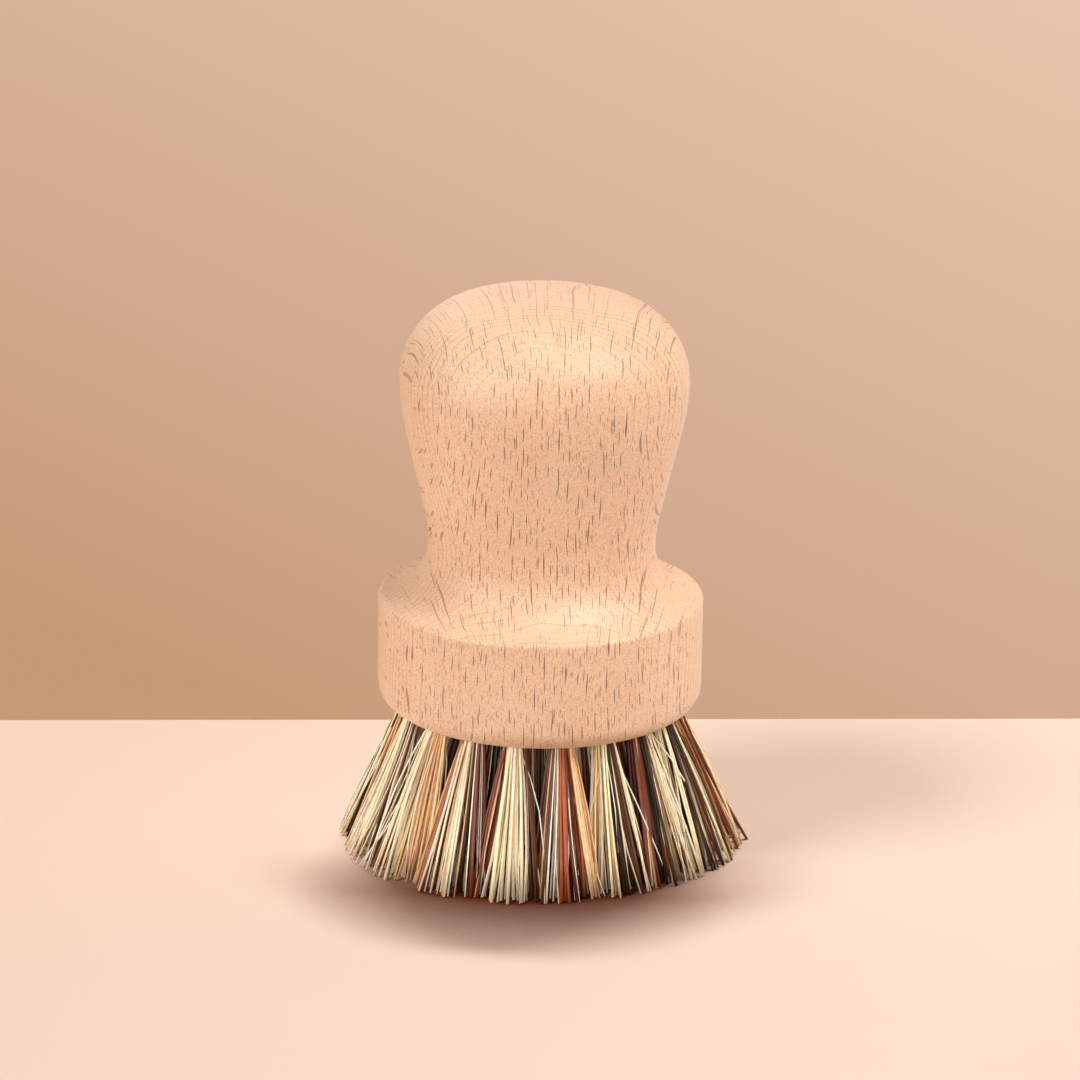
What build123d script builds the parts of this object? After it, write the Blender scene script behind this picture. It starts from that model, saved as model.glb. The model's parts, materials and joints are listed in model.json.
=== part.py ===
from build123d import *
from math import acos, asin, atan2, ceil, cos, degrees, radians, sin, sqrt, tan
import os

# A palm brush for pots and vegetables. One piece of beech is turned to a drilled disc,
# a waist for the fingers and a knob for the palm. Tufts of plant fibre are folded over
# flat metal anchors and driven into blind holes that fan outwards, and their tips are
# trimmed to one flat. Nothing on the brush moves: only the fibres flex.
#
# Lengths are in millimetres and angles in degrees. +Z points up through the knob, and
# the origin is the centre of the flat where the trimmed tips stand.

# Disc that carries the tufts
disc_diameter = 55.0
side_height = 19.15  # bristle face to the corner that the rim round takes off
bottom_round = 3.5
rim_round = 1.0

# Shoulder that slopes up from the rim and sweeps into the waist
shoulder_slope = 11.5
shoulder_flat = 0.7
waist_diameter = 38.4

# Flank that leans out from the waist to the widest part of the knob
flank_height = 28.9
flank_lean_share = 1.3  # lean of its straight stretch over the lean of the whole flank
waist_arc_share = 0.45  # the waist arc's share of the flank's two radii together

# Knob
knob_diameter = 48.6
crown_height = 14.7  # widest part to the apex
crown_radius = 63.5

# Round stretches of the outline are turned as short cones, this close to the arc
facet_depth = 0.15

# Tuft holes: one in the centre and rings of 6, 12 and 18 round it
ring_names = ("inner", "middle", "outer")
first_ring_count = 6
hole_diameter = 4.6
hole_sides = 8  # flats round each hole and its plug
hole_depth = 10.0  # along the hole, flat-bottomed
hole_edge_margin = 5.9  # side of the disc to the outer ring of holes

# Fibres
bristle_length = 25.0  # bristle face to the tips, measured upright
tip_flare = 8.5  # how much further out the outer tufts stand at their tips
strands_per_tuft = 9
strand_fill_share = 0.5  # strand width over the room that each strand has in the plug
flat_strand_share = 0.45  # thickness of a flat strand over its width
tuft_gap = 0.4  # between neighbouring tufts at the tips
trim_depth = 0.5  # cut from the tips to make them level
strand_overlap = 0.6  # how far a strand runs into the folded plug

# Folded plug at the root of each tuft
plug_clearance = 0.05
plug_recess = 1.0  # plug's lower end above the mouth of its hole
fold_gap = 0.1  # between the fold and the bottom of the hole

# Flat metal anchors, driven in across the holes
anchor_thickness = 0.35
anchor_width = 1.8
anchor_bite = 0.35  # how far each end reaches into the wood
anchor_clearance = 0.04
fold_height = 1.2  # fibres over the anchor, up to the end of the plug

# Sizes that follow
quarter_turn = 90.0
half_turn = 2 * quarter_turn
full_turn = 2 * half_turn
disc_radius = disc_diameter / 2
waist_radius = waist_diameter / 2
knob_radius = knob_diameter / 2
hole_radius = hole_diameter / 2
plug_radius = hole_radius - plug_clearance
face_pitch = (disc_radius - hole_edge_margin) / len(ring_names)
tip_pitch = (disc_radius - hole_edge_margin + tip_flare) / len(ring_names)
strand_radius = strand_fill_share * plug_radius / sqrt(strands_per_tuft)
tip_spread = (tip_pitch - tuft_gap) / 2 - strand_radius
root_spread = (plug_radius - strand_radius) * plug_radius / (plug_radius + plug_recess / 2)
anchor_length = hole_diameter + 2 * anchor_bite
anchor_level = hole_depth - fold_gap - fold_height - anchor_width / 2
golden_angle = half_turn * (3 - sqrt(5))


def block_outline():
    """Half section of the turned block, as a closed chain of tangent lines and arcs
    that starts along the bristle face, at height 0, and goes round by the apex."""
    rim_turn = quarter_turn - shoulder_slope
    rim_tangent = rim_round * tan(radians(rim_turn / 2))
    side = side_height - bottom_round - rim_tangent
    ledge = disc_radius - waist_radius - (rim_tangent + shoulder_flat) * cos(radians(shoulder_slope))
    cove_radius = ledge / (1 - sin(radians(shoulder_slope)))

    flank_spread = knob_radius - waist_radius
    lean = flank_lean_share * atan2(flank_spread, flank_height)
    flank_radii = (flank_height * sin(lean) - flank_spread * cos(lean)) / (1 - cos(lean))
    flank_straight = (flank_height - flank_radii * sin(lean)) / cos(lean)
    waist_arc_radius = waist_arc_share * flank_radii
    knob_arc_radius = flank_radii - waist_arc_radius

    brow_radius = (2 * crown_radius * crown_height - crown_height**2 - knob_radius**2) / (
        2 * (crown_radius - knob_radius)
    )
    crown_arc = degrees(asin((knob_radius - brow_radius) / (crown_radius - brow_radius)))

    chain = [Line((0, 0), (disc_radius - bottom_round, 0))]

    def straight(length):
        chain.append(PolarLine(chain[-1] @ 1, length, direction=chain[-1] % 1))

    def bend(radius, turn):
        chain.append(JernArc(chain[-1] @ 1, chain[-1] % 1, radius, turn))

    bend(bottom_round, quarter_turn)
    straight(side)
    bend(rim_round, rim_turn)
    straight(shoulder_flat)
    bend(cove_radius, -rim_turn)
    bend(waist_arc_radius, -degrees(lean))
    straight(flank_straight)
    bend(knob_arc_radius, degrees(lean))
    bend(brow_radius, quarter_turn - crown_arc)
    bend(crown_radius, crown_arc)
    chain.append(Line(chain[-1] @ 1, chain[0] @ 0))
    return chain


def chord_points(edge):
    """Start of an edge of the outline, and the steps along it where it is an arc."""
    steps = 1
    if edge.geom_type == GeomType.CIRCLE:
        longest_turn = 2 * acos(1 - facet_depth / edge.radius)
        steps = ceil(edge.length / edge.radius / longest_turn)
    return [edge @ (k / steps) for k in range(steps)]


def ring_tufts(ring):
    """Angles round the disc at which a ring's tufts stand."""
    count = max(1, first_ring_count * ring)
    return [full_turn * k / count for k in range(count)]


def ring_tilt(ring):
    """How far a ring's holes and tufts lean outwards from upright."""
    return degrees(atan2(ring * (tip_pitch - face_pitch), bristle_length))


def tuft_frame(ring):
    """Place of a ring's tuft on the +X side: its origin is the centre of the hole's
    mouth, z points up the hole and x runs along the anchor."""
    mouth = Pos(ring * face_pitch, 0, bristle_length)
    return mouth * Rot(0, -ring_tilt(ring), 0) * Rot(0, 0, quarter_turn)


def round_section(radius):
    """Section of a hole or of its plug, with flats towards the ends of the anchor."""
    return RegularPolygon(radius, hole_sides, major_radius=False, rotation=half_turn / hole_sides)


def hole_cutter():
    """Drilled hole, and the two slots that the anchor's ends press into its wall."""
    overrun = hole_radius
    bore = Pos(0, 0, -overrun) * extrude(round_section(hole_radius), hole_depth + overrun)
    return bore + anchor_body(anchor_clearance)


def anchor_body(clearance):
    """Flat anchor across the hole, grown all round by a clearance."""
    growth = 2 * clearance
    strip = Box(anchor_length + growth, anchor_thickness + growth, anchor_width + growth)
    return Pos(0, 0, anchor_level) * strip


def handle_block():
    """One-piece turned block with its drilled holes."""
    steps = [point for edge in block_outline() for point in chord_points(edge)]
    section = Plane.XZ * make_face(Polyline(*steps, close=True))
    block = Pos(0, 0, bristle_length) * revolve(section, Axis.Z)
    cutters = [
        Rot(0, 0, angle) * tuft_frame(ring) * hole_cutter()
        for ring in range(len(ring_names) + 1)
        for angle in ring_tufts(ring)
    ]
    return block - cutters


def strand_section(index, level, spread):
    """Section of one strand at a level of its tuft. Strands spiral out from the middle
    of the tuft by the golden angle, every third is a flat one, and the rest are
    three-sided."""
    angle = golden_angle * index
    share = sqrt((index + 0.5) / strands_per_tuft)
    if index % 3 == 1:
        width = 2 * strand_radius * cos(atan2(flat_strand_share, 1))
        shape = Rectangle(width, width * flat_strand_share)
    else:
        shape = RegularPolygon(strand_radius, 3)
    return Rot(0, 0, angle) * Pos(spread * share, 0, level) * shape


def tuft(ring):
    """Tuft on the +X side: a folded plug, slotted for its anchor, and straight strands
    that fan out from it and are trimmed level."""
    tilt = radians(ring_tilt(ring))
    reach = (bristle_length + trim_depth + tip_spread * sin(tilt)) / cos(tilt)
    plug_length = hole_depth - plug_recess - fold_gap
    plug = extrude(Pos(0, 0, plug_recess) * round_section(plug_radius), plug_length)
    strands = [
        loft(
            [
                strand_section(k, plug_recess + strand_overlap, root_spread),
                strand_section(k, -reach, tip_spread),
            ],
            ruled=True,
        )
        for k in range(strands_per_tuft)
    ]
    whole = (plug + strands) - anchor_body(anchor_clearance)
    return split(tuft_frame(ring) * whole, Plane.XY, keep=Keep.TOP)


def tuft_anchors():
    """All the anchors, one across each hole."""
    return Compound(
        [
            Rot(0, 0, angle) * tuft_frame(ring) * anchor_body(0)
            for ring in range(len(ring_names) + 1)
            for angle in ring_tufts(ring)
        ]
    )


def tuft_nodes():
    """Every tuft under its own name."""
    nodes = {"tuft_centre": tuft(0)}
    for ring, ring_name in enumerate(ring_names, start=1):
        model = tuft(ring)
        for k, angle in enumerate(ring_tufts(ring), start=1):
            nodes[f"tuft_{ring_name}_{k}"] = Rot(0, 0, angle) * model
    return nodes


os.makedirs("parts", exist_ok=True)
nodes = {"handle_block": handle_block(), "tuft_anchors": tuft_anchors(), **tuft_nodes()}
for name, shape in nodes.items():
    export_step(shape, f"parts/{name}.step")
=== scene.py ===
# %% [markdown]
# # A palm brush
#
# The brush is one turned piece of beech, with 37 tufts of plant fibre driven into its
# underside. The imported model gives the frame: its places and sizes are the real ones,
# and everything made here is set by them. The frame could also be rebuilt from numbers,
# but then the look and the working model could drift apart.

import json
import math

import bpy
import numpy as np
from mathutils import Matrix, Vector

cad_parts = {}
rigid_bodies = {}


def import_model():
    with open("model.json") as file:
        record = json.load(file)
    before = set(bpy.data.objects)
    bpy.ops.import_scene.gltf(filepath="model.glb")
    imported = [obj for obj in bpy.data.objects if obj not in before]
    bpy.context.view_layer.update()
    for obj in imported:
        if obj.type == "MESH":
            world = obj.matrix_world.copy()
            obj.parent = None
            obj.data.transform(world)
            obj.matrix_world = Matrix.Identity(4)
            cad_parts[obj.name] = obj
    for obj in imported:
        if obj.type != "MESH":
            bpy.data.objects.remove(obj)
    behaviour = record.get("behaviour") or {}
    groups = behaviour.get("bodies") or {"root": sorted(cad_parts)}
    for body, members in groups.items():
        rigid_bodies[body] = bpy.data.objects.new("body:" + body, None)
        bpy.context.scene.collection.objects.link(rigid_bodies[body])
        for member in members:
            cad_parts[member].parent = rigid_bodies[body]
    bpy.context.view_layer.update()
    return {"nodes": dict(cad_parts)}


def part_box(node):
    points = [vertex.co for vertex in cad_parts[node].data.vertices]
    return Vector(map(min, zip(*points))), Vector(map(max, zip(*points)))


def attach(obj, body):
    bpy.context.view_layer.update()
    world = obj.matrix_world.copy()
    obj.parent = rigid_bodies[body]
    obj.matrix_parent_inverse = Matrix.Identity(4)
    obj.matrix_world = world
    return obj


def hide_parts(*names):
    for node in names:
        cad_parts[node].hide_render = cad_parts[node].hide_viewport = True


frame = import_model()
block_low, block_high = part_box("handle_block")
disc_radius = block_high[0]
bristle_face = block_low[2]
print("frame:", len(frame["nodes"]), "nodes, disc radius", round(disc_radius, 4))

# %% [markdown]
# ## Small helpers
#
# Operators act on what is selected, so each piece starts with nothing selected. Shader
# nodes are wired by two short functions, which keeps each finish readable as a list of
# steps. Nodes could be wired one call at a time, at four lines for each.


# %% Helpers for pieces
def start_clean():
    """Leaves edit mode and deselects everything."""
    if bpy.context.mode != "OBJECT":
        bpy.ops.object.mode_set(mode="OBJECT")
    bpy.ops.object.select_all(action="DESELECT")


def settle(piece, name):
    """Names a piece and moves its place into its mesh."""
    piece.name = name
    piece.data.name = name
    bpy.ops.object.transform_apply(location=True, rotation=True, scale=True)
    return piece


def linear(red, green, blue):
    """A colour given 0 to 255, as the linear colour that shaders take."""
    full, toe, toe_slope, offset, power = 255, 0.04045, 12.92, 0.055, 2.4
    levels = [level / full for level in (red, green, blue)]
    straight = [v / toe_slope if v <= toe else ((v + offset) / (1 + offset)) ** power for v in levels]
    return (*straight, 1.0)


print("white as a linear colour:", linear(255, 255, 255))


# %% Helpers for finishes
def add(tree, kind, inputs=(), **settings):
    """Adds a shader node. Inputs map a socket's name or number to a value or an output."""
    node = tree.nodes.new(kind)
    for name, value in settings.items():
        setattr(node, name, value)
    for name, value in dict(inputs).items():
        if isinstance(value, bpy.types.NodeSocket):
            tree.links.new(value, node.inputs[name])
        else:
            node.inputs[name].default_value = value
    return node


def reckon(tree, operation, *terms):
    """One sum on numbers or outputs. It gives the output that holds the result."""
    return add(tree, "ShaderNodeMath", enumerate(terms), operation=operation).outputs[0]


# Sockets of the Mix node that hold colours: its other ones are for numbers and vectors
mix_share, mix_first, mix_second, mix_result = 0, 6, 7, 2


def blend(tree, share, first, second):
    """Mixes two colours by a share and gives the output."""
    inputs = {mix_share: share, mix_first: first, mix_second: second}
    return add(tree, "ShaderNodeMix", inputs, data_type="RGBA").outputs[mix_result]


def ramp(tree, value, low, high, first=0.0, last=1.0):
    """Maps a value that runs from low to high onto first to last, and no further."""
    inputs = {"Value": value, "From Min": low, "From Max": high, "To Min": first, "To Max": last}
    return add(tree, "ShaderNodeMapRange", inputs).outputs[0]


def between(tree, share, first, last):
    """The value at a share of the way from first to last."""
    return reckon(tree, "MULTIPLY_ADD", share, last - first, first)


print("helpers for nodes ready")


# %% Helpers for groups and materials
def new_group(name, inputs, outputs):
    """A node group with named sockets, as a tree, its input sockets and its output sockets."""
    group = bpy.data.node_groups.new(name, "ShaderNodeTree")
    for label, value in inputs.items():
        socket = group.interface.new_socket(label, in_out="INPUT", socket_type="NodeSocketFloat")
        socket.default_value = value
    for label in outputs:
        group.interface.new_socket(label, in_out="OUTPUT", socket_type="NodeSocketFloat")
    return group, group.nodes.new("NodeGroupInput").outputs, group.nodes.new("NodeGroupOutput").inputs


def use_group(tree, group, **values):
    """Places a group in a tree. Underscores in the given names stand for spaces."""
    inputs = {name.replace("_", " "): value for name, value in values.items()}
    return add(tree, "ShaderNodeGroup", inputs, node_tree=group).outputs


def new_material(name):
    """A material that is made of nodes. It gives the material, its tree and its shader."""
    material = bpy.data.materials.new(name)
    material.use_nodes = True
    tree = material.node_tree
    return material, tree, tree.nodes["Principled BSDF"]


print("helpers for groups and materials ready")

# %% [markdown]
# ## The turned block
#
# A turner cuts disc, waist and knob in one go along the blank, so the outline is one
# unbroken chain of straight and round stretches. It is drawn here the same way: one
# point is extruded for each straight and spun for each round, and the finished outline
# is spun round the axis. A stack of scaled rings would do too, but the stretches would
# meet at angles that a lathe doesn't leave.

# %% Sizes of the block, in metres
side_height = 0.01915
bottom_round = 0.0035
rim_round = 0.0010
shoulder_slope = math.radians(11.5)
shoulder_flat = 0.0007
waist_radius = 0.0192
flank_height = 0.0289
flank_lean_share = 1.3
waist_arc_share = 0.45
knob_radius = 0.0243
crown_height = 0.0147
crown_radius = 0.0635
turn_per_step = math.radians(4.5)
steps_round = 144
merge_distance = 0.00001
smooth_angle = math.radians(30)
print("block stands on the fibres at", round(bristle_face, 4))

# %% Stretches that follow from them
rim_turn = math.pi / 2 - shoulder_slope
rim_tangent = rim_round * math.tan(rim_turn / 2)
side = side_height - bottom_round - rim_tangent
ledge = disc_radius - waist_radius - (rim_tangent + shoulder_flat) * math.cos(shoulder_slope)
cove_radius = ledge / (1 - math.sin(shoulder_slope))
flank_spread = knob_radius - waist_radius
lean = flank_lean_share * math.atan2(flank_spread, flank_height)
flank_radii = (flank_height * math.sin(lean) - flank_spread * math.cos(lean)) / (1 - math.cos(lean))
flank_straight = (flank_height - flank_radii * math.sin(lean)) / math.cos(lean)
brow_radius = (2 * crown_radius * crown_height - crown_height**2 - knob_radius**2) / (
    2 * (crown_radius - knob_radius)
)
crown_arc = math.asin((knob_radius - brow_radius) / (crown_radius - brow_radius))
print("cove radius", round(cove_radius, 4), "brow radius", round(brow_radius, 4))


# %% A pen for the outline
class Outline:
    """A chain of edges drawn from one point, which is a plane merged to its middle. Angles
    turn from outwards towards up."""

    def __init__(self, place):
        self.place = Vector(place)
        self.angle = 0.0
        bpy.ops.mesh.primitive_plane_add(size=disc_radius)
        bpy.ops.object.mode_set(mode="EDIT")
        bpy.ops.mesh.merge(type="CENTER")
        bpy.ops.transform.translate(value=self.place)

    def straight(self, length):
        """Goes straight on by a length."""
        step = length * Vector((math.cos(self.angle), 0, math.sin(self.angle)))
        bpy.ops.mesh.extrude_region_move(TRANSFORM_OT_translate={"value": step})
        self.place += step

    def bend(self, radius, turn):
        """Goes round a tangent arc, to the left for a positive turn."""
        side_angle = self.angle + math.copysign(math.pi / 2, turn)
        centre = self.place + radius * Vector((math.cos(side_angle), 0, math.sin(side_angle)))
        steps = math.ceil(abs(turn) / turn_per_step)
        bpy.ops.mesh.spin(steps=steps, angle=turn, center=centre, axis=(0, 1, 0))
        self.place = centre + Matrix.Rotation(-turn, 3, "Y") @ (self.place - centre)
        self.angle += turn


print("pen ready, with", steps_round, "steps round the axis")


# %% Draw the outline and spin it
def turn_block():
    """The block as it comes off the lathe."""
    start_clean()
    outline = Outline((0, 0, bristle_face))
    outline.straight(disc_radius - bottom_round)
    outline.bend(bottom_round, math.pi / 2)
    outline.straight(side)
    outline.bend(rim_round, rim_turn)
    outline.straight(shoulder_flat)
    outline.bend(cove_radius, -rim_turn)
    outline.bend(waist_arc_share * flank_radii, -lean)
    outline.straight(flank_straight)
    outline.bend((1 - waist_arc_share) * flank_radii, lean)
    outline.bend(brow_radius, math.pi / 2 - crown_arc)
    outline.bend(crown_radius, crown_arc)
    print("outline ends at", [round(v, 5) for v in outline.place])
    bpy.ops.mesh.select_all(action="SELECT")
    bpy.ops.mesh.spin(steps=steps_round, angle=2 * math.pi, center=(0, 0, 0), axis=(0, 0, 1))
    bpy.ops.mesh.select_all(action="SELECT")
    bpy.ops.mesh.remove_doubles(threshold=merge_distance)
    bpy.ops.mesh.normals_make_consistent(inside=False)
    bpy.ops.object.mode_set(mode="OBJECT")
    return settle(bpy.context.object, "turned_block")


block = turn_block()
print("block:", len(block.data.polygons), "faces")

# %% [markdown]
# ## The tuft holes
#
# The holes are drilled into the flat underside, one in the centre and rings of 6, 12
# and 18 round it, each ring leaning further out. One joined cutter takes them all out
# in one go. Insetting 37 circles by hand would be slower and less true.

# %% Places of the tufts
ring_names = ("inner", "middle", "outer")
first_ring_count = 6
hole_radius = 0.0023
hole_sides = 24
hole_depth = 0.010
hole_edge_margin = 0.0059
tip_flare = 0.0085
face_pitch = (disc_radius - hole_edge_margin) / len(ring_names)
tip_pitch = face_pitch + tip_flare / len(ring_names)


def tuft_places():
    """Every tuft's node name with its ring number and its angle round the disc."""
    places = {"tuft_centre": (0, 0.0)}
    for ring, ring_name in enumerate(ring_names, start=1):
        count = first_ring_count * ring
        for k in range(count):
            places[f"tuft_{ring_name}_{k + 1}"] = (ring, 2 * math.pi * k / count)
    return places


def ring_tilt(ring):
    """How far a ring's tufts lean outwards."""
    return math.atan2(ring * (tip_pitch - face_pitch), bristle_face)


print("tufts:", len(tuft_places()))


# %% Drill the holes
def drill(block):
    """Cuts all the blind holes out of the block."""
    start_clean()
    for ring, angle in tuft_places().values():
        mouth = Matrix.Translation((ring * face_pitch, 0, bristle_face))
        tilt = Matrix.Rotation(-ring_tilt(ring), 4, "Y")
        bpy.ops.mesh.primitive_cylinder_add(vertices=hole_sides, radius=hole_radius, depth=2 * hole_depth)
        bpy.context.object.matrix_world = Matrix.Rotation(angle, 4, "Z") @ mouth @ tilt
    for piece in bpy.data.objects:
        piece.select_set(piece.name.startswith("Cylinder"))
    bpy.ops.object.join()
    cutter = settle(bpy.context.object, "drill")
    start_clean()
    bpy.context.view_layer.objects.active = block
    block.select_set(True)
    cut = block.modifiers.new("holes", "BOOLEAN")
    cut.object = cutter
    cut.operation = "DIFFERENCE"
    cut.solver = "EXACT"
    bpy.ops.object.modifier_apply(modifier=cut.name)
    bpy.data.objects.remove(cutter)
    bpy.ops.object.shade_smooth_by_angle(angle=smooth_angle)


drill(block)
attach(block, "root")
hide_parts("handle_block")
print("drilled block:", len(block.data.polygons), "faces")

# %% [markdown]
# ## Beech, as a solid
#
# Wood is a solid with a pattern all through it, and the lathe only uncovers it. So the
# pattern is worked out in the tree's own directions: out from the pith, along the rays
# and up the stem. The pith stands about 100 mm in front of the brush. Then the same
# thin rays give short dark dashes in front, long lines on the shoulder and crown, and
# nested curves at the sides, where the surface grazes them. A flat picture wrapped
# round the block could not do that.


# %% Directions in the tree, in millimetres
pith_x, pith_y = 6.0, -100.0
sway_x, sway_y = 2.2, 2.0
sways_per_metre = 55.0
millimetres = 1000.0


def surface_slant(group, x, y):
    """1 where the surface cuts straight across the rings, 0 where it lies along them."""
    level = add(group, "ShaderNodeCombineXYZ", {0: x, 1: y}).outputs[0]
    outwards = add(group, "ShaderNodeVectorMath", {0: level}, operation="NORMALIZE").outputs[0]
    normal = add(group, "ShaderNodeNewGeometry").outputs["Normal"]
    facing = add(group, "ShaderNodeVectorMath", {0: normal, 1: outwards}, operation="DOT_PRODUCT")
    facing = facing.outputs["Value"]
    return reckon(group, "SUBTRACT", 1.0, reckon(group, "MULTIPLY", facing, facing))


def tree_directions():
    """From Object coordinates: distance out from the pith, across the rays and up, and
    the slant of the surface. A slow sway keeps the stem from being too straight."""
    group, _, ends = new_group("Tree directions", {}, ("Out", "Across", "Up", "Slant"))
    place = add(group, "ShaderNodeTexCoord").outputs["Object"]
    waves = {"Vector": place, "Scale": sways_per_metre, "Detail": 2.0}
    sway = add(group, "ShaderNodeTexNoise", waves).outputs["Color"]
    sway = add(group, "ShaderNodeSeparateColor", {"Color": sway}).outputs
    axes = add(group, "ShaderNodeSeparateXYZ", {"Vector": place}).outputs
    x = reckon(group, "MULTIPLY_ADD", axes["X"], millimetres, -pith_x)
    x = reckon(group, "MULTIPLY_ADD", sway[0], sway_x, x)
    y = reckon(group, "MULTIPLY_ADD", axes["Y"], millimetres, -pith_y)
    y = reckon(group, "MULTIPLY_ADD", sway[1], sway_y, y)
    squares = reckon(group, "MULTIPLY_ADD", x, x, reckon(group, "MULTIPLY", y, y))
    across = reckon(group, "MULTIPLY", reckon(group, "ARCTAN2", x, y), -pith_y)
    group.links.new(reckon(group, "SQRT", squares), ends["Out"])
    group.links.new(across, ends["Across"])
    group.links.new(reckon(group, "MULTIPLY", axes["Z"], millimetres), ends["Up"])
    group.links.new(surface_slant(group, x, y), ends["Slant"])
    return group


tree_group = tree_directions()
print("made", tree_group.name)

# %% [markdown]
# ## Growth rings
#
# Each year ends in a thin dark line, and the tone deepens a little towards it. The rings
# follow from the distance to the pith, with a slow drift, because no tree is quite round.
# A wave texture would give rings too, but all of one strength.

# %% Growth rings
ring_drifts = {"Across": 0.05, "Out": 0.05, "Up": 0.02}  # waves per millimetre
ring_wander = 7.0
late_share = 0.2  # last share of a year, where the dark line lies
line_softness = 0.1
weakest_share = 0.2  # strength of the faintest ring over that of the strongest


def growth_rings():
    """A thin dark line where each year ends, and a tone that deepens towards it."""
    inputs = {"Out": 0.0, "Across": 0.0, "Up": 0.0, "Spacing": 1.1}
    group, given, ends = new_group("Growth rings", inputs, ("Line", "Tone"))
    slowed = [reckon(group, "MULTIPLY", given[name], rate) for name, rate in ring_drifts.items()]
    stretch = add(group, "ShaderNodeCombineXYZ", enumerate(slowed)).outputs[0]
    waves = {"Vector": stretch, "Scale": 1.0, "Detail": 1.0}
    drift = add(group, "ShaderNodeTexNoise", waves).outputs[0]
    wander = reckon(group, "MULTIPLY_ADD", drift, ring_wander, given["Out"])
    years = reckon(group, "DIVIDE", wander, given["Spacing"])
    year = {"W": reckon(group, "FLOOR", years)}
    luck = add(group, "ShaderNodeTexWhiteNoise", year, noise_dimensions="1D").outputs["Value"]
    through = reckon(group, "FRACT", years)
    late = reckon(group, "MULTIPLY_ADD", through, 1 / late_share, 1 - 1 / late_share)
    line = reckon(group, "SMOOTH_MAX", late, 0.0, line_softness)
    tone = reckon(group, "MULTIPLY", through, through)
    strength = between(group, luck, weakest_share, 1.0)
    group.links.new(reckon(group, "MULTIPLY", line, strength), ends["Line"])
    group.links.new(reckon(group, "MULTIPLY", tone, strength), ends["Tone"])
    return group


ring_group = growth_rings()
print("made", ring_group.name)

# %% [markdown]
# ## Rays
#
# Beech is known by its rays, thin ribbons that run out from the pith. The wood is divided
# into cells, and some of them hold one ribbon, at a place and of a size drawn by lot. A
# stretched noise would be shorter to write, but its marks have no points at their ends.

# %% Cells for the rays, in millimetres
ray_inputs = {"Gap Across": 1.5, "Gap Up": 6.0, "Gap Out": 20.0, "Width": 0.16, "Height": 3.5}
ray_inputs |= {"Cover": 0.8, "Seed": 0.0}
column_slide = 9.0  # cells by which one column may slide against the next
seed_step = 31.0
aside_shares = (0.8, 0.2)  # where a fleck's middle may stand in its cell, across
above_shares = (0.7, 0.3)  # and upwards
half_width_shares = (0.3, 0.7)
half_height_shares = (0.15, 0.55)
fleck_sharpness = 2.5


def ray_cells(group, given):
    """Divides the wood into cells, in columns that slide against each other. It gives the
    shares of the way across and up through a cell, and the cell's own chances."""
    across = reckon(group, "DIVIDE", given["Across"], given["Gap Across"])
    column = reckon(group, "FLOOR", across)
    corner = add(group, "ShaderNodeCombineXYZ", {0: column, 1: given["Seed"]}).outputs[0]
    slide = add(group, "ShaderNodeTexWhiteNoise", {"Vector": corner}).outputs["Color"]
    slide = add(group, "ShaderNodeSeparateColor", {"Color": slide}).outputs
    up = reckon(group, "DIVIDE", given["Up"], given["Gap Up"])
    up = reckon(group, "MULTIPLY_ADD", slide[0], column_slide, up)
    out = reckon(group, "DIVIDE", given["Out"], given["Gap Out"])
    out = reckon(group, "MULTIPLY_ADD", slide[1], column_slide, out)
    seeded = reckon(group, "MULTIPLY_ADD", given["Seed"], seed_step, column)
    steps = {0: seeded, 1: reckon(group, "FLOOR", up), 2: reckon(group, "FLOOR", out)}
    cell = add(group, "ShaderNodeCombineXYZ", steps).outputs[0]
    chances = add(group, "ShaderNodeTexWhiteNoise", {"Vector": cell}).outputs
    return reckon(group, "FRACT", across), reckon(group, "FRACT", up), chances


def from_middle(group, way, gap, luck, middle_shares):
    """Distance from the middle of a cell's fleck, in millimetres."""
    middle = between(group, luck, *middle_shares)
    return reckon(group, "MULTIPLY", reckon(group, "SUBTRACT", way, middle), gap)


print("cells ready")


# %% Ribbons in the cells
def ray_flecks():
    """Thin upright ribbons along the rays: pointed dashes where they are cut end-on."""
    inputs = {"Out": 0.0, "Across": 0.0, "Up": 0.0, **ray_inputs}
    group, given, ends = new_group("Ray flecks", inputs, ("Mask",))
    across, up, chances = ray_cells(group, given)
    dice = add(group, "ShaderNodeSeparateColor", {"Color": chances["Color"]}).outputs
    aside = from_middle(group, across, given["Gap Across"], dice[0], aside_shares)
    above = from_middle(group, up, given["Gap Up"], dice[1], above_shares)
    half_width = reckon(group, "MULTIPLY", given["Width"], between(group, dice[2], *half_width_shares))
    half_height = reckon(group, "MULTIPLY", given["Height"], between(group, dice[2], *half_height_shares))
    sideways = reckon(group, "ABSOLUTE", reckon(group, "DIVIDE", aside, half_width))
    upways = reckon(group, "DIVIDE", above, half_height)
    lens_shape = reckon(group, "SUBTRACT", 1.0, reckon(group, "MULTIPLY", upways, upways))
    lens_shape = reckon(group, "SUBTRACT", lens_shape, sideways)
    lens_shape = reckon(group, "MULTIPLY", lens_shape, fleck_sharpness)
    mask = add(group, "ShaderNodeClamp", {"Value": lens_shape}).outputs[0]
    there = reckon(group, "LESS_THAN", chances["Value"], given["Cover"])
    group.links.new(reckon(group, "MULTIPLY", mask, there), ends["Mask"])
    return group


ray_group = ray_flecks()
print("made", ray_group.name)

# %% [markdown]
# ## Pores
#
# The lathe cuts the vessels of the wood open, and they show as fine specks, a little
# longer than they are wide. The hollows of a noise give the dark ones and its peaks the
# pale ones. Cells would do here too, but nobody can tell one pore from the next.

# %% Pores
pore_stretch_share = 0.7
dark_from, dark_to = 0.47, 0.39
pale_from, pale_to = 0.53, 0.61


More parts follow.
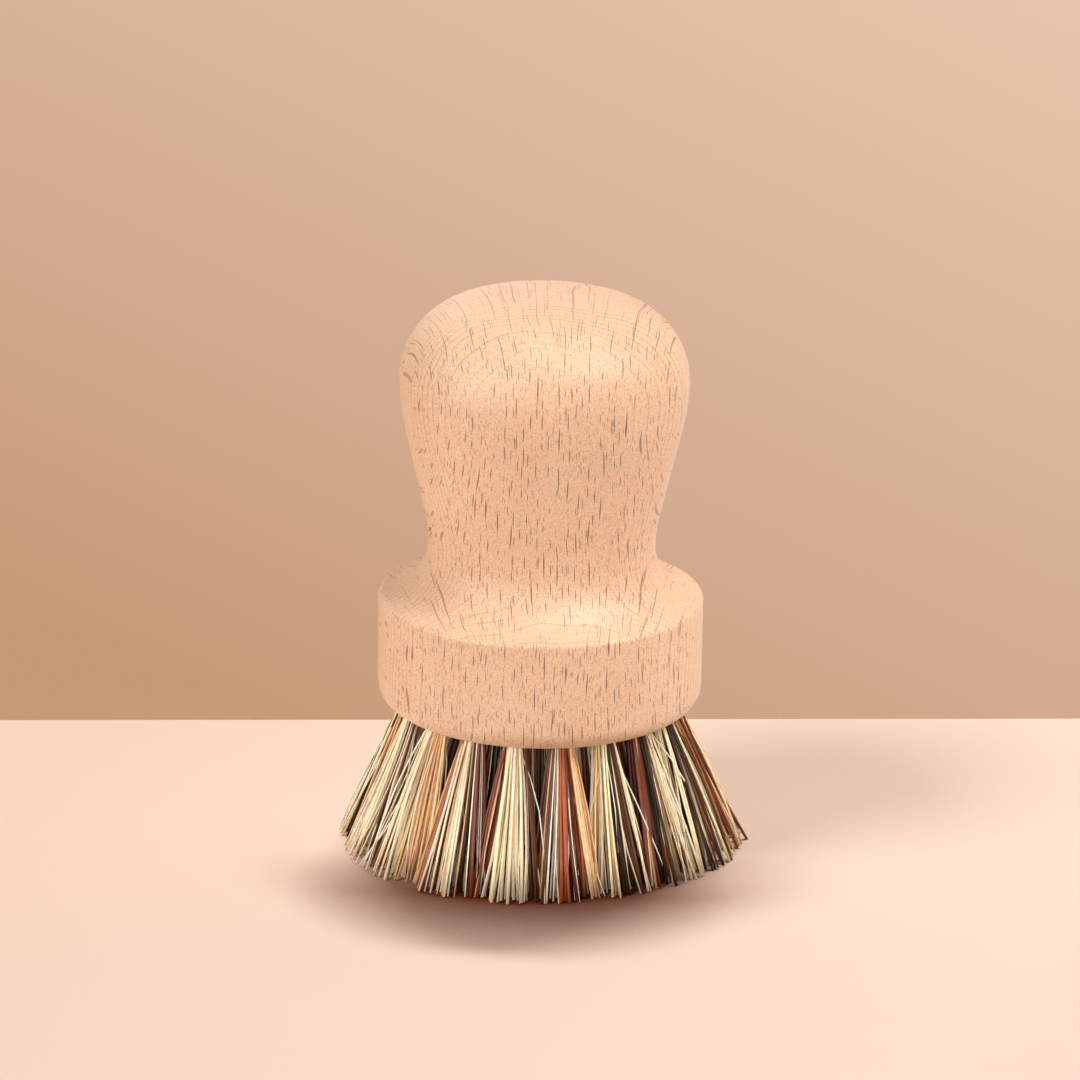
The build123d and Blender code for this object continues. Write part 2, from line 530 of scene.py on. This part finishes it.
def pores():
    """Fine specks drawn out along the stem: open vessels, dark or filled and pale."""
    inputs = {"Out": 0.0, "Across": 0.0, "Up": 0.0, "Per Millimetre": 2.6, "Seed": 0.0}
    group, given, ends = new_group("Pores", inputs, ("Dark", "Pale"))
    along = reckon(group, "MULTIPLY", given["Up"], pore_stretch_share)
    axes = {0: given["Across"], 1: given["Out"], 2: along}
    spot = add(group, "ShaderNodeCombineXYZ", axes).outputs[0]
    look = {"Vector": spot, "W": given["Seed"], "Scale": given["Per Millimetre"]}
    look |= {"Detail": 2.0, "Roughness": 0.7}
    specks = add(group, "ShaderNodeTexNoise", look, noise_dimensions="4D").outputs[0]
    group.links.new(ramp(group, specks, dark_from, dark_to), ends["Dark"])
    group.links.new(ramp(group, specks, pale_from, pale_to), ends["Pale"])
    return group


pore_group = pores()
print("made", pore_group.name)

# %% [markdown]
# ## The beech finish
#
# The block is sanded and left bare, so it is matt and pale, with a slight pink. The
# tones are laid as in the wood: a warm ground that drifts a little, rings on it, then
# pores, then the rays, darkest of all. Rays and pores are also cut a hair into the
# surface.


# %% Tones, marks and relief of beech
beech_tones = {
    "ground": linear(246, 208, 174),
    "deep_ground": linear(238, 194, 158),
    "late_wood": linear(218, 166, 128),
    "ring_line": linear(176, 118, 82),
    "pale_pore": linear(255, 230, 190),
    "dark_pore": linear(214, 152, 112),
    "fine_ray": linear(160, 98, 56),
    "ray": linear(128, 76, 40),
}
beech_shares = {
    "late_wood": 0.3,
    "ring_line": 0.95,
    "pale_pore": 0.75,
    "dark_pore": 0.7,
    "fine_ray": 0.6,
}
ray_shares = (0.95, 0.65)  # along the rings and straight across them
ray_kinds = {
    "fine": {"Gap_Across": 0.45, "Gap_Up": 1.9, "Gap_Out": 12.0, "Width": 0.15, "Height": 1.3},
    "short": {"Gap_Across": 1.25, "Gap_Up": 3.6, "Gap_Out": 30.0, "Width": 0.18, "Height": 3.3},
    "tall": {"Gap_Across": 2.3, "Gap_Up": 7.5, "Gap_Out": 45.0, "Width": 0.22, "Height": 5.6},
}
ray_cover_shares = {"fine": 0.4, "short": 0.6, "tall": 0.55}
ray_seeds = {"fine": 3.0, "short": 1.0, "tall": 5.0}
ring_spacing = 1.25
pores_per_millimetre = 5.2
clouds_per_metre = 38.0
cloud_from, cloud_to = 0.35, 0.65
slant_from, slant_to = 0.2, 0.8
beech_roughness = (0.42, 0.52)
beech_gloss = 0.6
beech_sheen = 0.35
relief_depth = 0.00003
relief_strength = 0.6
relief_shares = {"pale_pore": 0.3, "dark_pore": 0.5}
print("tones of beech:", len(beech_tones))


# %% Layers of beech
def lay(tree, colour, mask, tone):
    """Lays one tone of the wood over the colour so far, by its mask and its share."""
    share = reckon(tree, "MULTIPLY", mask, beech_shares[tone])
    return blend(tree, share, colour, beech_tones[tone])


def fleck_mask(tree, kind, way):
    """Where one kind of ray comes to the surface."""
    values = {**ray_kinds[kind], "Cover": ray_cover_shares[kind], "Seed": ray_seeds[kind]}
    return use_group(tree, ray_group, **values, **way)["Mask"]


def beech_relief(tree, specks, rays):
    """Normals of the sanded surface. Rays and open pores lie a hair below it, and filled
    pores stand a little proud."""
    height = reckon(tree, "MULTIPLY", specks["Pale"], relief_shares["pale_pore"])
    height = reckon(tree, "SUBTRACT", height, rays)
    open_pores = reckon(tree, "MULTIPLY", specks["Dark"], relief_shares["dark_pore"])
    height = reckon(tree, "SUBTRACT", height, open_pores)
    relief = {"Height": height, "Distance": relief_depth, "Strength": relief_strength}
    return add(tree, "ShaderNodeBump", relief).outputs[0]


def lay_rings(tree, colour, way, slant):
    """Lays the year rings, which are clearest where the surface cuts across them."""
    rings = use_group(tree, ring_group, Spacing=ring_spacing, **way)
    for mask, tone in (("Tone", "late_wood"), ("Line", "ring_line")):
        colour = lay(tree, colour, reckon(tree, "MULTIPLY", rings[mask], slant), tone)
    return colour


print("kinds of rays:", len(ray_kinds))


# %% Beech
def beech():
    """Bare sanded beech, laid from the ground tone up to the rays."""
    material, tree, shader = new_material("beech")
    directions = use_group(tree, tree_group)
    slant = ramp(tree, directions["Slant"], slant_from, slant_to)
    way = {name: directions[name] for name in ("Out", "Across", "Up")}
    place = add(tree, "ShaderNodeTexCoord").outputs["Object"]
    waves = {"Vector": place, "Scale": clouds_per_metre, "Detail": 3.0}
    cloud = ramp(tree, add(tree, "ShaderNodeTexNoise", waves).outputs[0], cloud_from, cloud_to)
    specks = use_group(tree, pore_group, Per_Millimetre=pores_per_millimetre, **way)
    rays = reckon(tree, "MAXIMUM", fleck_mask(tree, "short", way), fleck_mask(tree, "tall", way))

    colour = blend(tree, cloud, beech_tones["ground"], beech_tones["deep_ground"])
    colour = lay_rings(tree, colour, way, slant)
    colour = lay(tree, colour, specks["Pale"], "pale_pore")
    colour = lay(tree, colour, specks["Dark"], "dark_pore")
    colour = lay(tree, colour, fleck_mask(tree, "fine", way), "fine_ray")
    share = reckon(tree, "MULTIPLY", rays, between(tree, slant, *ray_shares))
    colour = blend(tree, share, colour, beech_tones["ray"])

    tree.links.new(colour, shader.inputs["Base Color"])
    tree.links.new(beech_relief(tree, specks, rays), shader.inputs["Normal"])
    tree.links.new(ramp(tree, cloud, 0.0, 1.0, *beech_roughness), shader.inputs["Roughness"])
    shader.inputs["Specular IOR Level"].default_value = beech_gloss
    shader.inputs["Sheen Weight"].default_value = beech_sheen
    return material


block.data.materials.clear()
block.data.materials.append(beech())
print("beech on", block.name)

# %% [markdown]
# ## The anchors
#
# Each tuft is folded over a short strip of flat wire, out of sight in its hole. The
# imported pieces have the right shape, so they stay and only get a drawn steel finish.


# %% Anchor steel
steel_tones = (linear(170, 168, 164), linear(205, 203, 199))
steel_roughness = (0.25, 0.45)
steel_marks_per_metre = 4000.0


def anchor_steel():
    """Drawn steel wire, with fine marks in its tone and its roughness."""
    material, tree, shader = new_material("anchor_steel")
    place = add(tree, "ShaderNodeTexCoord").outputs["Object"]
    marks = {"Vector": place, "Scale": steel_marks_per_metre, "Detail": 2.0}
    drawn = add(tree, "ShaderNodeTexNoise", marks).outputs[0]
    tree.links.new(ramp(tree, drawn, 0.0, 1.0, *steel_roughness), shader.inputs["Roughness"])
    tree.links.new(blend(tree, drawn, *steel_tones), shader.inputs["Base Color"])
    shader.inputs["Metallic"].default_value = 1.0
    return material


anchors = frame["nodes"]["tuft_anchors"]
anchors.data.materials.clear()
anchors.data.materials.append(anchor_steel())
print("steel on", anchors.name)

# %% [markdown]
# ## One fibre
#
# The tufts mix stiff pale, tan, russet and near-black plant fibres, flat or wiry, that
# leave the hole tight together and fan out to a level trim. One fibre is modelled by
# extruding a six-sided face, and every fibre is a bent copy of it. Particle hair would
# be quicker, but its strands have no thickness as a mesh.

# %% Model the fibre
fibre_sides = 6
unit_width = 1.0
level_shares = (0.0, 0.12, 0.2, 0.34, 0.52, 0.76, 1.0)


def model_fibre():
    """A unit fibre: a prism one wide, with a ring of points at each level share."""
    start_clean()
    bpy.ops.mesh.primitive_circle_add(vertices=fibre_sides, radius=unit_width / 2, fill_type="NGON")
    fibre = bpy.context.object
    bpy.ops.object.mode_set(mode="EDIT")
    for low, high in zip(level_shares, level_shares[1:]):
        bpy.ops.mesh.extrude_region_move(TRANSFORM_OT_translate={"value": (0, 0, high - low)})
    bpy.ops.mesh.select_all(action="SELECT")
    bpy.ops.mesh.normals_make_consistent(inside=False)
    bpy.ops.object.mode_set(mode="OBJECT")
    points = np.array([v.co[:] for v in fibre.data.vertices])
    faces = np.array([v for face in fibre.data.polygons for v in face.vertices])
    sizes = [len(face.vertices) for face in fibre.data.polygons]
    bpy.data.objects.remove(fibre)
    return points, np.split(faces, np.cumsum(sizes)[:-1])


fibre_points, fibre_faces = model_fibre()
fibre_levels = np.abs(fibre_points[:, 2:] - np.array(level_shares)).argmin(axis=1)
print("fibre:", len(fibre_points), "points,", len(fibre_faces), "faces")

# %% [markdown]
# ## Tones of the fibres
#
# A brushmaker picks up each tuft from a mixed bundle, where fibres of one kind lie
# together, so a tuft shows streaks of one tone. Along the front edge the streaks follow
# the real brush from left to right, and elsewhere they are drawn by lot.

# %% Tones, widths and streaks
fibre_tones = {
    "white": linear(255, 248, 230),
    "pale": linear(255, 240, 202),
    "tan": linear(242, 196, 142),
    "russet": linear(170, 92, 54),
    "maroon": linear(122, 60, 38),
    "brown": linear(100, 56, 30),
    "black": linear(58, 34, 20),
}
fibre_widths = {
    "white": (0.00022, 0.00034),
    "pale": (0.00038, 0.00066),
    "tan": (0.00032, 0.00058),
    "russet": (0.00050, 0.00095),
    "maroon": (0.00050, 0.00095),
    "brown": (0.00050, 0.00090),
    "black": (0.00050, 0.00095),
}
mixed_shares = (0.24, 0.44, 0.16, 0.04, 0.04, 0.04, 0.04)
inner_shares = (0.10, 0.16, 0.10, 0.10, 0.14, 0.20, 0.20)
streak_share = 0.64
edge_reach = 90.0  # degrees to either side of the front that the edge tones cover
edge_tones = (
    "black", "black", "tan", "tan", "pale", "brown", "maroon", "pale", "pale", "tan",
    "tan", "russet", "pale", "black", "maroon", "pale", "pale", "pale", "brown", "tan",
    "russet", "russet", "tan", "pale", "black", "brown", "maroon", "black", "pale", "pale",
    "pale", "black", "russet", "brown", "tan", "tan", "brown",
)
print("tones along the front edge:", len(edge_tones))


def tone_at(azimuth, ring, habits):
    """Tone of a fibre whose tip lies at an azimuth, 0 in front and 90 to the right. Habits
    are the two tones that its tuft tends to."""
    if ring < len(ring_names):
        return str(luck.choice(list(fibre_tones), p=inner_shares))
    if luck.uniform() > streak_share:
        return str(luck.choice(list(fibre_tones), p=mixed_shares))
    if abs(azimuth) <= edge_reach:
        way = (azimuth + edge_reach) / (2 * edge_reach)
        return edge_tones[round(way * (len(edge_tones) - 1))]
    return str(luck.choice(habits))


# %% [markdown]
# ## The tufts
#
# Each tuft is one piece of about 70 fibres. A fibre starts inside the hole, keeps to
# the tuft's direction at the mouth and runs straight to its own place in the fan, so
# that neighbours seldom cross. A few thin ones stray. The maker's shears leave one level
# and a clean round edge, a little pressed in at the front and splayed at the right. One
# tuft could be made and copied 36 times, but the eye soon finds a repeated tuft.

# %% Sizes of the fan
fibres_per_tuft = 72
stray_share = 0.1
root_spread = 0.0019
root_depth = 0.004
fan_spread = 0.0056
edge_fan_spread = (0.0042, 0.0066)
stray_spread = 0.0040
trim_slack = 0.0003
edge_slack = 0.0004
fibre_bow = 0.0003
stray_bow = 0.0010
edge_radius = 0.0340
front_press, press_azimuth, press_width = 0.0024, 15.0, 38.0
right_splay, splay_azimuth, splay_width = 0.0022, 92.0, 24.0
luck = np.random.default_rng(37)
print("fibres:", fibres_per_tuft * len(tuft_places()))


# %% The trimmed edge
def edge_at(azimuth):
    """Radius at which the shears have cut the outer edge."""
    press = front_press * math.exp(-(((azimuth - press_azimuth) / press_width) ** 2))
    splay = right_splay * math.exp(-(((azimuth - splay_azimuth) / splay_width) ** 2))
    return edge_radius - press + splay


def azimuth_of(point):
    """Direction in which a point lies, in degrees: 0 in front and 90 to the right."""
    return math.degrees(math.atan2(point[0], -point[1]))


print("edge in front and at the right:", round(edge_at(0), 4), round(edge_at(90), 4))


# %% The way of one fibre
def fibre_path(ring, angle, stray):
    """Points of a fibre's middle line, from inside its hole to its trimmed tip."""
    around = luck.uniform(0, 2 * math.pi)
    side = math.sqrt(luck.uniform()) * np.array((math.cos(around), math.sin(around), 0))
    fan = (*edge_fan_spread, 0) if ring == len(ring_names) else (fan_spread, fan_spread, 0)
    tilt = ring_tilt(ring)
    mouth = np.array((ring * face_pitch, 0, bristle_face)) + side * root_spread
    root = mouth + root_depth * np.array((-math.sin(tilt), 0, math.cos(tilt)))
    tip = np.array((ring * tip_pitch, 0, 0)) + side * fan
    if stray:
        tip += luck.normal(size=3) * stray_spread
    turn = np.array(Matrix.Rotation(angle, 3, "Z"))
    root, mouth, tip = turn @ root, turn @ mouth, turn @ tip
    edge = edge_at(azimuth_of(tip))
    tip *= edge / edge_radius
    if np.hypot(tip[0], tip[1]) > edge:
        tip *= (edge - abs(luck.normal()) * edge_slack) / np.hypot(tip[0], tip[1])
    tip[2] = luck.uniform(0, trim_slack)
    bow = luck.normal(size=3) * (stray_bow if stray else fibre_bow)
    path = [root]
    for share in level_shares[1:]:
        way = (share - level_shares[1]) / (1 - level_shares[1])
        path.append(mouth + (tip - mouth) * way + bow * math.sin(math.pi * way))
    return np.array(path)


def bend_fibre(path, width, thickness, twist):
    """Places the unit fibre along a path. The cut end lies level."""
    ahead = np.gradient(path, axis=0)
    ahead /= np.linalg.norm(ahead, axis=1, keepdims=True)
    across = np.cross(ahead, (math.cos(twist), math.sin(twist), 0))
    across /= np.linalg.norm(across, axis=1, keepdims=True)
    deep = np.cross(ahead, across)
    wide, thick = width * fibre_points[:, :1], thickness * fibre_points[:, 1:2]
    placed = path[fibre_levels] + wide * across[fibre_levels] + thick * deep[fibre_levels]
    placed[fibre_levels == len(level_shares) - 1, 2] = path[-1, 2]
    return placed


print("levels along a fibre:", len(level_shares))

# %% Make the tufts
thickness_shares = (0.4, 0.8)
shade_shares = (0.84, 1.08)
green_shares = (0.95, 1)
blue_shares = (0.85, 1)


def fibre_tint(tone):
    """Colour of one fibre: its tone, a little lighter, darker or yellower."""
    shade = luck.uniform(*shade_shares)
    yellowed = np.array((1, luck.uniform(*green_shares), luck.uniform(*blue_shares)))
    return [*(np.array(fibre_tones[tone][:3]) * (shade * yellowed)), 1]


def make_tuft(name, ring, angle):
    """One tuft as one mesh, with a tint for each fibre."""
    habits = luck.choice(list(fibre_tones), size=2)
    points, faces, tints = [], [], []
    for number in range(fibres_per_tuft):
        stray = luck.uniform() < stray_share
        path = fibre_path(ring, angle, stray)
        tone = "white" if stray else tone_at(azimuth_of(path[-1]), ring, habits)
        width = luck.uniform(*fibre_widths[tone])
        thickness = width * luck.uniform(*thickness_shares)
        points.append(bend_fibre(path, width, thickness, luck.uniform(0, 2 * math.pi)))
        faces += [(face + number * len(fibre_points)).tolist() for face in fibre_faces]
        tints += [fibre_tint(tone)] * len(fibre_points)
    mesh = bpy.data.meshes.new(name)
    mesh.from_pydata(np.vstack(points).tolist(), [], faces)
    tint = mesh.attributes.new("tint", "FLOAT_COLOR", "POINT")
    tint.data.foreach_set("color", np.array(tints, dtype=np.float32).ravel())
    piece = bpy.data.objects.new(name, mesh)
    bpy.context.collection.objects.link(piece)
    return piece


# %% Plant fibre
streaks_per_metre = (3000, 3000, 250)  # many across the fibres and few along them
streak_from, streak_to = 0.3, 0.7
streak_shares = (0.85, 1.1)
fibre_roughness = (0.35, 0.55)


def plant_fibre():
    """The tint of each fibre, with fine streaks that run down the brush."""
    material, tree, shader = new_material("plant_fibre")
    tint = add(tree, "ShaderNodeAttribute", attribute_name="tint").outputs["Color"]
    place = add(tree, "ShaderNodeTexCoord").outputs["Object"]
    stretch = {"Vector": place, "Scale": streaks_per_metre}
    stretch = add(tree, "ShaderNodeMapping", stretch).outputs[0]
    waves = {"Vector": stretch, "Scale": 1.0, "Detail": 2.0}
    streak = add(tree, "ShaderNodeTexNoise", waves).outputs[0]
    dim = ramp(tree, streak, streak_from, streak_to, *streak_shares)
    colour = add(tree, "ShaderNodeVectorMath", {0: tint, "Scale": dim}, operation="SCALE").outputs[0]
    tree.links.new(colour, shader.inputs["Base Color"])
    tree.links.new(ramp(tree, streak, 0.0, 1.0, *fibre_roughness), shader.inputs["Roughness"])
    return material


fibre_finish = plant_fibre()
for name, (ring, angle) in tuft_places().items():
    tuft = make_tuft(f"fibres_{name}", ring, angle)
    tuft.data.materials.append(fibre_finish)
    tuft.data.polygons.foreach_set("use_smooth", [True] * len(tuft.data.polygons))
    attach(tuft, "root")
    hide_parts(name)
print("tufts made:", len(tuft_places()))

# %% [markdown]
# ## Camera
#
# The brush is seen from a little above, from nearly a metre off and through a long lens,
# so that its upright lines stay nearly parallel. A short lens close by would fill the
# picture as well, but it would swell the knob and hide the shoulder.

# %% Camera
eye_distance = 0.9
eye_height = 0.05
eye_pitch = math.radians(18.56)
aim = Vector((-0.0003, 0, 0.0533))
lens = 177.7
sensor_width = 36.0
roll = math.radians(0.95)
eye = Vector((0, -eye_distance * math.cos(eye_pitch), eye_distance * math.sin(eye_pitch)))
eye.z += eye_height

camera_data = bpy.data.cameras.new("camera")
camera_data.lens = lens
camera_data.sensor_width = sensor_width
camera = bpy.data.objects.new("camera", camera_data)
bpy.context.collection.objects.link(camera)
facing = (aim - eye).to_track_quat("-Z", "Y").to_matrix()
camera.matrix_world = Matrix.Translation(eye) @ (facing @ Matrix.Rotation(roll, 3, "Z")).to_4x4()
bpy.context.scene.camera = camera
print("camera at", [round(v, 3) for v in eye])

# %% [markdown]
# ## Table and backdrop
#
# The brush stands on a pale peach table, in front of a tan paper backdrop. The backdrop
# stands well behind, so that it takes no shadow. It glows by itself, and its glow is painted
# light that runs from darker at the lower left to lighter at the upper right. The table's
# tone is painted lighter to the right and a little darker to the back. Close in front of
# the tips a shadow is painted into the table's colour, since lamps alone leave too little
# of the shade that gathers there.

# %% Painted shadow under the tips
shade_reach = 0.025
shade_power = 6.0
shade_from, shade_to = -0.008, -0.028
# Colour of the shadow painted on the table in front of the tips
painted_shadow_tone = linear(120, 50, 10)


def tip_shade(tree, place, colour):
    """Paints a shadow into the table's colour close in front of the tips, dense and warm,
    as from light that has passed between the fibres."""
    open_sky = add(tree, "ShaderNodeAmbientOcclusion", {"Distance": shade_reach}).outputs["AO"]
    hidden = reckon(tree, "SUBTRACT", 1.0, reckon(tree, "POWER", open_sky, shade_power))
    depth = add(tree, "ShaderNodeSeparateXYZ", {"Vector": place}).outputs["Y"]
    in_front = ramp(tree, depth, shade_from, shade_to)
    return blend(tree, reckon(tree, "MULTIPLY", hidden, in_front), colour, painted_shadow_tone)


print("shade reaches", shade_reach)

# %% Table
table_back = 0.057
table_size = 3.0
table_turn = math.radians(3.0)
# The table's own peach tone, with painted light: its drift makes it lighter to the right and a little
# darker to the back
table_tones = (linear(222, 198, 178), linear(239, 219, 204))
table_light_drift = (5.0, -2.0, 0)
table_middle_share = 0.5
paper_roughness = 0.9
paper_gloss = 0.1
unlit = (0, 0, 0, 1)


def stage_finish(name, tones, drift_per_metre, middle_share, glow=0.0, with_painted_shadow=False):
    """A plain finish whose tone drifts across the stage from one colour to another, as painted
    light. It may glow, and it may carry a painted shadow in front of the tips.
    """
    material, tree, shader = new_material(name)
    place = add(tree, "ShaderNodeTexCoord").outputs["Object"]
    drift = {0: place, 1: drift_per_metre}
    drift = add(tree, "ShaderNodeVectorMath", drift, operation="DOT_PRODUCT").outputs["Value"]
    colour = blend(tree, reckon(tree, "ADD", drift, middle_share), *tones)
    # A shadow painted into the colour, close in front of the tips
    if with_painted_shadow:
        colour = tip_shade(tree, place, colour)
    tree.links.new(colour, shader.inputs["Emission Color" if glow else "Base Color"])
    if glow:
        shader.inputs["Emission Strength"].default_value = glow
        shader.inputs["Base Color"].default_value = unlit
    shader.inputs["Roughness"].default_value = paper_roughness
    shader.inputs["Specular IOR Level"].default_value = paper_gloss
    return material


def stage_plane(name, centre, size, turn, finish):
    """A flat sheet of the stage, in its finish."""
    start_clean()
    bpy.ops.mesh.primitive_plane_add(size=size, location=centre, rotation=turn)
    plane = settle(bpy.context.object, name)
    plane.data.materials.append(finish)


table_finish = stage_finish("table_paper", table_tones, table_light_drift, table_middle_share, with_painted_shadow=True)
seam = Vector((math.sin(table_turn), -math.cos(table_turn), 0)) * table_size / 2
table_centre = Vector((0, table_back, 0)) + seam
stage_plane("table", table_centre, table_size, (0, 0, table_turn), table_finish)
print("table centre", [round(v, 3) for v in table_centre])

# %% Backdrop
backdrop_distance = 1.3
backdrop_size = 6.0
# The backdrop glows by itself, and its drift is painted light: darker at the lower left, lighter at the
# upper right
backdrop_tones = (linear(198, 154, 121), linear(231, 196, 171))
backdrop_light_drift = (1.0, 0, 2.1)
backdrop_middle_share = 1.08
backdrop_glow = 1.0
backdrop_finish = stage_finish(
    "backdrop_paper", backdrop_tones, backdrop_light_drift, backdrop_middle_share, glow=backdrop_glow
)
backdrop_centre = (0, backdrop_distance, 0)
stage_plane("backdrop", backdrop_centre, backdrop_size, (math.pi / 2, 0, 0), backdrop_finish)
print("backdrop at", backdrop_distance)

# %% [markdown]
# ## Light
#
# A studio brush like this is lit in layers. On the table, a strip lamp above and behind
# draws the short dark shadow in front, and a soft lamp at the front left draws the long
# pale shadow to the right. Other lamps model the brush alone, and one only its fibres, as
# a photographer would arrange with card. Light linking does that here: each lamp has a
# collection of the pieces that it reaches. One lamp for everything would be simpler, but
# what flatters the wood would wash the shadows off the table.

# %% Lamps
lamp_distance = 1.0
lamps = {
    "table_strip": {"towards": (0.05, 0.3, 0.95), "size": (0.26, 0.06), "watts": 7.3, "lights": "stage"},
    "table_left": {"towards": (-0.5, -0.28, 0.82), "size": (0.26, 0.26), "watts": 4.5, "lights": "stage"},
    "key": {"towards": (0.35, -0.3, 0.9), "size": (0.5, 0.5), "watts": 3.0, "lights": "brush"},
    "top": {"towards": (0.25, -0.05, 0.97), "size": (0.5, 0.5), "watts": 1.6, "lights": "brush"},
    "high_right": {"towards": (0.62, -0.35, 0.7), "size": (0.4, 0.4), "watts": 6.0, "lights": "brush"},
    "low_left": {"towards": (-0.85, -0.45, 0.3), "size": (0.7, 0.7), "watts": 6.8, "lights": "brush"},
    "low_front": {"towards": (-0.1, -0.95, 0.3), "size": (0.6, 0.4), "watts": 3.8, "lights": "tufts"},
}
lit_pieces = {kind: bpy.data.collections.new(f"lit_{kind}") for kind in ("stage", "brush", "tufts")}
for piece in bpy.data.objects:
    if piece.type == "MESH":
        lit_pieces["stage" if piece.name in ("table", "backdrop") else "brush"].objects.link(piece)
    if piece.name.startswith("fibres"):
        lit_pieces["tufts"].objects.link(piece)


def add_lamp(name, towards, size, watts, lights):
    """A soft lamp that points at the brush and lights one kind of piece."""
    data = bpy.data.lights.new(name, "AREA")
    data.shape = "RECTANGLE"
    data.energy = watts
    data.size, data.size_y = size
    lamp = bpy.data.objects.new(name, data)
    bpy.context.collection.objects.link(lamp)
    towards = Vector(towards).normalized()
    facing = towards.to_track_quat("Z", "Y").to_matrix().to_4x4()
    lamp.matrix_world = Matrix.Translation(aim + towards * lamp_distance) @ facing
    lamp.light_linking.receiver_collection = lit_pieces[lights]


for name, lamp in lamps.items():
    add_lamp(f"lamp_{name}", **lamp)
print("lamps:", len(lamps))

# %% Surround
surround_tone = linear(255, 188, 144)
surround_strength = 0.06
seen_tone = linear(214, 176, 146)
seen_strength = 1.0
world = bpy.data.worlds.new("surround")
world.use_nodes = True
surround = world.node_tree
ground = surround.nodes["Background"]
seen = add(surround, "ShaderNodeLightPath").outputs["Is Camera Ray"]
tone = blend(surround, seen, surround_tone, seen_tone)
surround.links.new(tone, ground.inputs["Color"])
strength = ramp(surround, seen, 0.0, 1.0, surround_strength, seen_strength)
surround.links.new(strength, ground.inputs["Strength"])
bpy.context.scene.world = world
bpy.context.scene.view_settings.view_transform = "Standard"
print("lit")
